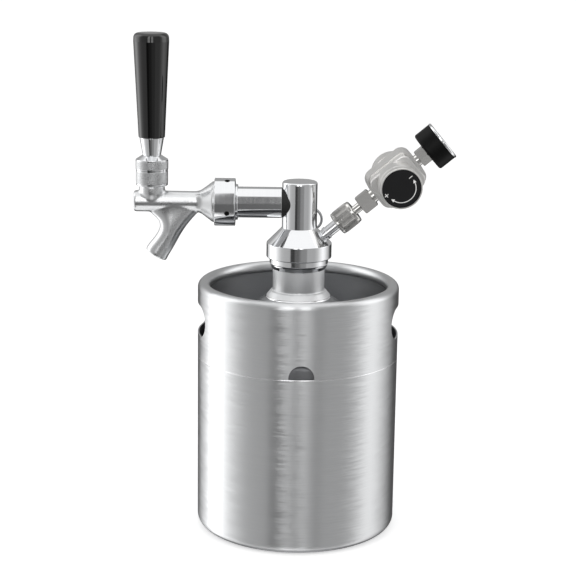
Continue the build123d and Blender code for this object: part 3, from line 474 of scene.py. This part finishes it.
for entry in frame["record"]["subparts"]:
    node = nodes[entry["node"]]
    finish = finishes.get(entry["node"]) or by_slot[entry["material_slot"]]
    for slot in node.material_slots:
        slot.material = finish


# ------------------------------------------------------------ pieces
def piece(name, where, points, faces, body, material, flat=False):
    """Mesh piece from points in millimetres on a piece's own axes."""
    mesh = bpy.data.meshes.new(name)
    mesh.from_pydata([(where @ Vector(point)) * MM for point in points], [], faces)
    mesh.update()
    mesh.materials.append(material)
    for polygon in mesh.polygons:
        polygon.use_smooth = not flat
    obj = bpy.data.objects.new(name, mesh)
    bpy.context.scene.collection.objects.link(obj)
    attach(obj, body)
    return obj


def grid_faces(rows, columns, closed):
    """Quads of a grid that runs around a piece, joined end to start if closed."""
    faces = []
    for row in range(rows - 1 + closed):
        for column in range(columns):
            after = (column + 1) % columns
            low = row * columns
            high = (row + 1) % rows * columns
            faces.append((low + column, low + after, high + after, high + column))
    return faces


def lathe(name, where, outline, body, material, steps=192):
    """Closed (radius, height) outline turned about the piece's own z axis."""
    points = []
    for radius, height in outline:
        for step in range(steps):
            angle = 2 * math.pi * step / steps
            points.append((radius * math.cos(angle), radius * math.sin(angle), height))
    return piece(name, where, points, grid_faces(len(outline), steps, True), body, material)


def sleeve(name, where, radius, low, high, relief, body, material, around, along):
    """Worked skin on a round bar, tapered in at both ends; relief gives how far it
    stands out at an angle and a height."""
    points = []
    root = radius - SKIN_ROOT
    for row in range(along + 1):
        height = low + (high - low) * row / along
        taper = min(1.0, 3 * min(1.0, 4 * min(row, along - row) / along + 0.02))
        for step in range(around):
            angle = 2 * math.pi * step / around
            reach = root + (radius + relief(angle, height) - root) * taper
            points.append((reach * math.cos(angle), reach * math.sin(angle), height))
    return piece(name, where, points, grid_faces(along + 1, around, False), body, material)


def plate(name, where, outlines, low, high, body, material):
    """Flat shapes between two heights on a piece's own axes."""
    points = []
    faces = []
    for outline in outlines:
        count = len(outline)
        start = len(points)
        points += [(x, y, low) for x, y in outline]
        points += [(x, y, high) for x, y in outline]
        faces.append(tuple(start + count + index for index in range(count)))
        faces.append(tuple(start + index for index in reversed(range(count))))
        for index in range(count):
            low_a, low_b = start + index, start + (index + 1) % count
            faces.append((low_a, low_b, low_b + count, low_a + count))
    return piece(name, where, points, faces, body, material, flat=True)


# Bright bead where the collar is welded to the vessel
lathe(
    "seam_bead",
    upright,
    [
        (KEG_RADIUS - 0.45, SEAM_HEIGHT - 0.30),
        (KEG_RADIUS - 0.02, SEAM_HEIGHT - 0.10),
        (KEG_RADIUS - 0.02, SEAM_HEIGHT + 0.05),
        (KEG_RADIUS - 0.30, SEAM_HEIGHT + 0.42),
        (KEG_RADIUS - 0.45, SEAM_HEIGHT + 0.42),
    ],
    "keg",
    steel_bead,
)
# Fillet weld between the neck's flange and the dome
lathe(
    "neck_weld",
    upright,
    [
        (NECK_FLANGE_RADIUS - 0.2, NECK_BASE - 0.3),
        (NECK_FLANGE_RADIUS + 0.9, NECK_BASE - 0.75),
        (NECK_FLANGE_RADIUS + 0.65, NECK_BASE - 0.3),
        (NECK_FLANGE_RADIUS + 0.3, NECK_BASE + 0.05),
        (NECK_FLANGE_RADIUS + 0.02, NECK_BASE + 0.45),
        (NECK_FLANGE_RADIUS - 0.2, NECK_BASE + 0.5),
    ],
    "keg",
    steel_bead,
)


def ridge(value):
    """Triangle wave, 0 at whole numbers and 1 half-way."""
    return 1 - abs(2 * (value % 1.0) - 1)


def diamond_knurl(pitch, radius, depth):
    """Two sets of crossing grooves, pitch apart around the bar."""
    count = round(2 * math.pi * radius / pitch)

    def relief(angle, height):
        turn = angle * count / (2 * math.pi)
        crossing = min(ridge(turn + height / pitch), ridge(turn - height / pitch))
        return depth * crossing - SKIN_SINK

    return relief


def straight_knurl(count, depth):
    """Grooves along the bar."""
    return lambda angle, height: depth * ridge(angle * count / (2 * math.pi)) - SKIN_SINK


def thread(pitch, depth):
    """Right-handed thread."""
    return lambda angle, height: depth * ridge(height / pitch - angle / (2 * math.pi)) - depth


# Dark floors of the spanner holes in the coupling nut: painted shade in the holes
for index in range(SPANNER_HOLES):
    hole_place = (
        shank_place
        @ Matrix.Rotation(SPANNER_HOLE_ANGLE + 2 * math.pi * index / SPANNER_HOLES, 4, "Z")
        @ Matrix.Translation((SPANNER_HOLE_FLOOR, 0, SPANNER_HOLE_PLACE))
        @ Matrix.Rotation(math.pi / 2, 4, "Y")
    )
    lathe(
        f"spanner_hole_painted_shade_{index}",
        hole_place,
        [
            (0.02, 0.1),
            (SPANNER_HOLE_RADIUS, 0.1),
            (SPANNER_HOLE_RADIUS, 1.1),
            (SPANNER_HOLE_RADIUS - 0.25, 1.0),
            (0.02, 0.4),
        ],
        "coupling",
        painted_shade_black,
        32,
    )

# Knurls: the real ridges are about 0.8 mm apart, drawn a little coarser so that they show
sleeve(
    "bonnet_knurl", lever_place, BONNET_RADIUS, BONNET_BOTTOM + 1.0, BONNET_TOP - 0.4,
    diamond_knurl(KNURL_PITCH, BONNET_RADIUS, KNURL_DEPTH),
    "head", knurl_lever, 396, 54,
)
sleeve(
    "collar_knurl", lever_place, COLLAR_RADIUS, COLLAR_CUP_EDGE + 0.45, COLLAR_CONE_BASE - 0.5,
    diamond_knurl(KNURL_PITCH, COLLAR_RADIUS, KNURL_DEPTH),
    "lever", knurl_lever, 402, 34,
)
sleeve(
    "swivel_knurl", gas_place, SWIVEL_RADIUS, SWIVEL_START + 1.6, SWIVEL_END - 1.6,
    straight_knurl(SWIVEL_GROOVES, SWIVEL_GROOVE_DEPTH),
    "swivel", nickel_knurl, 460, 20,
)
sleeve(
    "gauge_thread", gas_place, GAUGE_NECK_RADIUS, GAUGE_NECK_START, GAUGE_NECK_END,
    thread(GAUGE_THREAD_PITCH, GAUGE_THREAD_DEPTH),
    "head", nickel_nut, 96, 24,
)


# Marks on the knob's disc: a curved arrow with minus and plus
def ring_part(radius, width, start, end, steps=48):
    """Outline of part of a flat ring, angles in degrees."""
    outline = []
    for side in (radius + width / 2, radius - width / 2):
        edge = []
        for step in range(steps + 1):
            angle = math.radians(start + (end - start) * step / steps)
            edge.append((side * math.cos(angle), side * math.sin(angle)))
        outline += edge if side > radius else edge[::-1]
    return outline


def strips(radius, width, start, end, count=24):
    """The same ring part in short pieces, each of them convex."""
    step = (end - start) / count
    parts = []
    for index in range(count):
        parts.append(ring_part(radius, width, start + step * index, start + step * (index + 1), 2))
    return parts


def arrow_head(radius, angle, turn, length, half_width):
    """Triangle at the end of a curved arrow; turn is 1 anticlockwise."""
    angle = math.radians(angle)
    centre = Vector((radius * math.cos(angle), radius * math.sin(angle)))
    ahead = Vector((-math.sin(angle), math.cos(angle))) * turn
    side = Vector((math.cos(angle), math.sin(angle))) * half_width * turn
    return [tuple(corner) for corner in (centre + ahead * length, centre - side, centre + side)]


def bar(radius, angle, length, width, lean=0.0):
    """Small rectangle at a place on the disc."""
    angle = math.radians(angle)
    lean = math.radians(lean)
    centre = Vector((radius * math.cos(angle), radius * math.sin(angle)))
    ahead = Vector((math.cos(lean), math.sin(lean)))
    side = Vector((-ahead.y, ahead.x))
    corners = []
    for a, b in ((-1, -1), (1, -1), (1, 1), (-1, 1)):
        corners.append(tuple(centre + ahead * a * length / 2 + side * b * width / 2))
    return corners


LINE_WIDTH = 0.5
ARROW_RADIUS = 9.3
ARROW_START = -160.0
ARROW_END = -14.0
ARROW_HEAD_LENGTH = 2.3
ARROW_HEAD_HALF_WIDTH = 1.15
MINUS_RADIUS, MINUS_ANGLE, MINUS_LENGTH = 9.5, 14.8, 2.7
PLUS_RADIUS, PLUS_ANGLE, PLUS_LENGTH = 10.7, 165.0, 2.9
INK_HALF_THICKNESS = 0.05
marks = strips(ARROW_RADIUS, LINE_WIDTH, ARROW_START, ARROW_END)
for mark_angle, turn in ((ARROW_END, 1), (ARROW_START, -1)):
    marks.append(
        arrow_head(ARROW_RADIUS, mark_angle, turn, ARROW_HEAD_LENGTH, ARROW_HEAD_HALF_WIDTH)
    )
marks.append(bar(MINUS_RADIUS, MINUS_ANGLE, MINUS_LENGTH, LINE_WIDTH))
marks.append(bar(PLUS_RADIUS, PLUS_ANGLE, PLUS_LENGTH, LINE_WIDTH))
marks.append(bar(PLUS_RADIUS, PLUS_ANGLE, LINE_WIDTH, PLUS_LENGTH))
plate(
    "knob_marks", knob_place, marks,
    KNOB_FACE_HEIGHT - INK_HALF_THICKNESS, KNOB_FACE_HEIGHT + INK_HALF_THICKNESS,
    "knob", print_white,
)

# Dial: a scale over 270 degrees, clockwise from the lower left
ZERO_ANGLE = 225.0
FULL_SWEEP = 270.0
NUMBERED_STEPS = 6
STEP_PARTS = 5
STEP_VALUE = 10
SCALE_RADIUS = 10.6
SCALE_WIDTH = 0.18
LONG_TICK_LENGTH, LONG_TICK_WIDTH = 1.9, 0.28
SHORT_TICK_LENGTH, SHORT_TICK_WIDTH = 1.0, 0.16
NUMBER_RADIUS = 7.2
NUMBER_SIZE = 2.2
ticks = strips(SCALE_RADIUS, SCALE_WIDTH, ZERO_ANGLE - FULL_SWEEP, ZERO_ANGLE, 60)
for index in range(NUMBERED_STEPS * STEP_PARTS + 1):
    angle = ZERO_ANGLE - FULL_SWEEP * index / (NUMBERED_STEPS * STEP_PARTS)
    long = index % STEP_PARTS == 0
    length = LONG_TICK_LENGTH if long else SHORT_TICK_LENGTH
    width = LONG_TICK_WIDTH if long else SHORT_TICK_WIDTH
    ticks.append(bar(SCALE_RADIUS - length / 2, angle, length, width, angle))
plate(
    "dial_scale", dial_place, ticks, DIAL_HEIGHT - 0.03, DIAL_HEIGHT + 0.04,
    "head", ink_black,
)
for index in range(NUMBERED_STEPS + 1):
    angle = math.radians(ZERO_ANGLE - FULL_SWEEP * index / NUMBERED_STEPS)
    text = bpy.data.curves.new(f"dial_number_{index}", "FONT")
    text.body = str(index * STEP_VALUE)
    text.size = NUMBER_SIZE * MM
    text.align_x = "CENTER"
    text.align_y = "CENTER"
    text.extrude = 0.03 * MM
    text.materials.append(ink_black)
    number = bpy.data.objects.new(f"dial_number_{index}", text)
    bpy.context.scene.collection.objects.link(number)
    across = NUMBER_RADIUS * math.cos(angle)
    above_middle = NUMBER_RADIUS * math.sin(angle)
    spot = Vector((across, above_middle, DIAL_HEIGHT + 0.02))
    number.matrix_world = dial_place.to_3x3().to_4x4()
    number.location = (dial_place @ spot) * MM
    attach(number, "head")

# Faucet casting: the same solid with its joins blended as in a real casting
CASTING_MERGE = 0.02
CASTING_GRID = 0.55
CASTING_PASSES = 14
source = nodes["faucet_body"].data
points = [tuple(vertex.co / MM) for vertex in source.vertices]
faces = [tuple(polygon.vertices) for polygon in source.polygons]
casting = piece("faucet_casting", upright, points, faces, "head", casting_faucet)
weld = casting.modifiers.new("weld", "WELD")
weld.merge_threshold = CASTING_MERGE * MM
remesh = casting.modifiers.new("remesh", "REMESH")
remesh.mode = "VOXEL"
remesh.voxel_size = CASTING_GRID * MM
remesh.use_smooth_shade = True
smooth = casting.modifiers.new("smooth", "SMOOTH")
smooth.factor = 0.5
smooth.iterations = CASTING_PASSES
graph = bpy.context.evaluated_depsgraph_get()
blended = bpy.data.meshes.new_from_object(casting.evaluated_get(graph))
casting.modifiers.clear()
casting.data = blended
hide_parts("faucet_body")

# ------------------------------------------------------------ studio
# Sizes and places of the studio are in metres.
scene = bpy.context.scene
FLOOR = 6.0
FLOOR_LEVEL = -0.0002
FLOOR_GLOW = 0.45


def stage_mesh(name, points, faces, material):
    """Mesh of the studio, which is no part of the object; points in metres."""
    mesh = bpy.data.meshes.new(name)
    mesh.from_pydata(points, [], faces)
    mesh.materials.append(material)
    obj = bpy.data.objects.new(name, mesh)
    scene.collection.objects.link(obj)
    return obj


floor_paint, tree, shader = skin("studio_floor", "#E7E7E7", 0.0, 0.9)
seen = add(tree, "ShaderNodeLightPath").outputs["Is Camera Ray"]
shader.inputs["Emission Color"].default_value = (1, 1, 1, 1)
lift = add(tree, "ShaderNodeMath", {0: seen, 1: FLOOR_GLOW}, operation="MULTIPLY")
tree.links.new(lift.outputs[0], shader.inputs["Emission Strength"])
corners = [(-FLOOR, -FLOOR), (FLOOR, -FLOOR), (FLOOR, FLOOR), (-FLOOR, FLOOR)]
floor = stage_mesh(
    "floor", [(x, y, FLOOR_LEVEL) for x, y in corners], [(0, 1, 2, 3)], floor_paint
)
floor.visible_glossy = False

# Tent of pale and dark cloths around the object; only the shine sees it
TENT_RADIUS = 2.4
TENT_MIDDLE = 0.2
BRIGHTEST = 2.5
tent_cloth = bpy.data.materials.new("studio_tent")
tent_cloth.use_nodes = True
tree = tent_cloth.node_tree
tree.nodes.clear()
from_middle = add(
    tree,
    "ShaderNodeVectorMath",
    {0: add(tree, "ShaderNodeTexCoord").outputs["Object"], 1: (0, 0, TENT_MIDDLE)},
    operation="SUBTRACT",
)
outward = add(tree, "ShaderNodeVectorMath", {0: from_middle.outputs[0]}, operation="NORMALIZE")
split = add(tree, "ShaderNodeSeparateXYZ", {0: outward.outputs[0]})
front = add(tree, "ShaderNodeMath", {0: split.outputs["Y"], 1: -1.0}, operation="MULTIPLY")
angle = add(
    tree, "ShaderNodeMath", {0: split.outputs["X"], 1: front.outputs[0]}, operation="ARCTAN2"
)
turn = add(
    tree,
    "ShaderNodeMapRange",
    {"Value": angle.outputs[0], "From Min": -math.pi, "From Max": math.pi},
)
rise = add(tree, "ShaderNodeMath", {0: split.outputs["Z"]}, operation="ARCSINE")


def cloths(stops):
    """Brightness around the object: (azimuth from the front towards +X, 1 is white)."""
    ramp = add(tree, "ShaderNodeValToRGB", {0: turn.outputs[0]})
    elements = ramp.color_ramp.elements
    for index, (azimuth, brightness) in enumerate(stops):
        spot = (azimuth + 180) / 360
        element = elements[index] if index < 2 else elements.new(spot)
        element.position = spot
        value = brightness / BRIGHTEST
        element.color = (value, value, value, 1)
    return ramp.outputs["Color"]


def above(lower, upper, low, high):
    """Upper brightness over the lower one, changing between two elevations."""
    share = add(
        tree,
        "ShaderNodeMapRange",
        {"Value": rise.outputs[0], "From Min": math.radians(low), "From Max": math.radians(high)},
    )
    both = {"Factor": share.outputs[0], 6: lower, 7: upper}
    return add(tree, "ShaderNodeMix", both, data_type="RGBA").outputs[2]


white = cloths([(-180, 1.2), (180, 1.2)])
ground = cloths(
    [
        (-180, 0.08), (-135, 0.08), (-118, 1.2), (-86, 1.2), (-70, 0.5), (-22, 0.42), (-18, 1.9),
        (-7, 1.9), (-5, 0.2), (1, 0.2), (3, 1.9), (11, 1.9), (15, 0.42), (70, 0.45), (84, 1.2),
        (108, 1.2), (135, 0.08), (180, 0.08),
    ]
)
level = cloths(
    [
        (-180, 0.05), (-150, 0.06), (-143, 0.6), (-126, 1.1), (-116, 2.3), (-102, 2.3), (-88, 1.2),
        (-76, 0.85), (-64, 0.58), (-52, 0.5), (-32, 0.46), (-29, 0.06), (-18, 0.05), (-13, 0.14),
        (-3, 0.14), (3, 0.2), (8, 0.28), (26, 0.3), (30, 0.46), (56, 0.46), (68, 0.6),
        (80, 0.95), (92, 1.25), (104, 1.05), (114, 0.75), (126, 0.5), (134, 0.2), (142, 0.06),
        (180, 0.05),
    ]
)
raised = cloths(
    [
        (-180, 0.4), (-150, 0.4), (-134, 0.9), (-118, 1.9), (-88, 1.9), (-72, 0.7), (-56, 0.45),
        (-26, 0.4), (-22, 0.45), (-18, 2.5), (-7, 2.5), (-5, 0.22), (1, 0.22), (3, 2.5), (11, 2.5),
        (16, 0.45), (24, 0.42), (62, 0.42), (76, 0.9), (84, 1.8), (108, 1.8), (122, 0.6),
        (140, 0.4), (180, 0.4),
    ]
)
shade = above(white, ground, -68, -62)
shade = above(shade, level, -46, -40)
shade = above(shade, raised, -4, 3)
shade = above(shade, white, 49, 56)
light = add(tree, "ShaderNodeEmission", {"Color": shade, "Strength": BRIGHTEST})
add(tree, "ShaderNodeOutputMaterial", {"Surface": light.outputs[0]})
TENT_ROWS = 48
TENT_COLUMNS = 96
points = []
for row in range(TENT_ROWS + 1):
    elevation = math.pi * (row / TENT_ROWS - 0.5) * 0.999
    for column in range(TENT_COLUMNS):
        azimuth = 2 * math.pi * column / TENT_COLUMNS
        points.append(
            (
                TENT_RADIUS * math.cos(elevation) * math.cos(azimuth),
                TENT_RADIUS * math.cos(elevation) * math.sin(azimuth),
                TENT_RADIUS * math.sin(elevation) + TENT_MIDDLE,
            )
        )
tent = stage_mesh("tent", points, grid_faces(TENT_ROWS + 1, TENT_COLUMNS, False), tent_cloth)
tent.visible_camera = False
tent.visible_diffuse = False
tent.visible_shadow = False
tent.visible_transmission = False

# World: white where the camera, a shiny face or clear glass sees it, and a little
# less bright as light on the object
WORLD_LIGHT = 0.7
world = bpy.data.worlds.new("studio")
scene.world = world
world.use_nodes = True
tree = world.node_tree
path = add(tree, "ShaderNodeLightPath")
straight, mirrored, through = (
    path.outputs[f"Is {ray} Ray"] for ray in ("Camera", "Glossy", "Transmission")
)
seen = add(tree, "ShaderNodeMath", {0: straight, 1: mirrored}, operation="ADD").outputs[0]
seen = add(
    tree, "ShaderNodeMath", {0: seen, 1: through}, operation="ADD", use_clamp=True
).outputs[0]
strength = add(
    tree, "ShaderNodeMapRange", {"Value": seen, "To Min": WORLD_LIGHT, "To Max": 1.0}
)
background = tree.nodes["Background"]
background.inputs["Color"].default_value = (1, 1, 1, 1)
tree.links.new(strength.outputs[0], background.inputs["Strength"])


LAMP_AIM = Vector((0, 0, 0.16))


def softbox(name, position, size, power):
    """Area lamp that faces the keg's neck."""
    lamp = bpy.data.lights.new(name, "AREA")
    lamp.shape = "RECTANGLE"
    lamp.size, lamp.size_y = size
    lamp.energy = power
    obj = bpy.data.objects.new(name, lamp)
    obj.location = position
    aim = LAMP_AIM - Vector(position)
    obj.rotation_euler = aim.to_track_quat("-Z", "Y").to_euler()
    obj.visible_glossy = False
    scene.collection.objects.link(obj)


softbox("softbox_left", (-1.1, -0.9, 1.3), (1.0, 1.4), 6.0)
softbox("softbox_right", (1.2, -0.7, 1.0), (0.9, 1.2), 4.0)

# Camera fitted to the photograph: long lens, a little above the keg and turned down
CAMERA_LENS = 102.8
CAMERA_SHIFT = -0.01076
CAMERA_PLACE = (-0.01346, -1.06775, 0.41743)
CAMERA_RIGHT = Vector((0.99988, -0.00660, 0.01412))
CAMERA_UP = Vector((-0.01221, 0.23188, 0.97267))
camera_data = bpy.data.cameras.new("camera")
camera_data.sensor_width = 36.0
camera_data.lens = CAMERA_LENS
camera_data.shift_x = CAMERA_SHIFT
camera_data.clip_end = 20.0
camera = bpy.data.objects.new("camera", camera_data)
scene.collection.objects.link(camera)
camera_back = CAMERA_RIGHT.cross(CAMERA_UP)
stand = Matrix((CAMERA_RIGHT, CAMERA_UP, camera_back)).transposed().to_4x4()
stand.translation = Vector(CAMERA_PLACE)
camera.matrix_world = stand
scene.camera = camera
scene.view_settings.view_transform = "Standard"
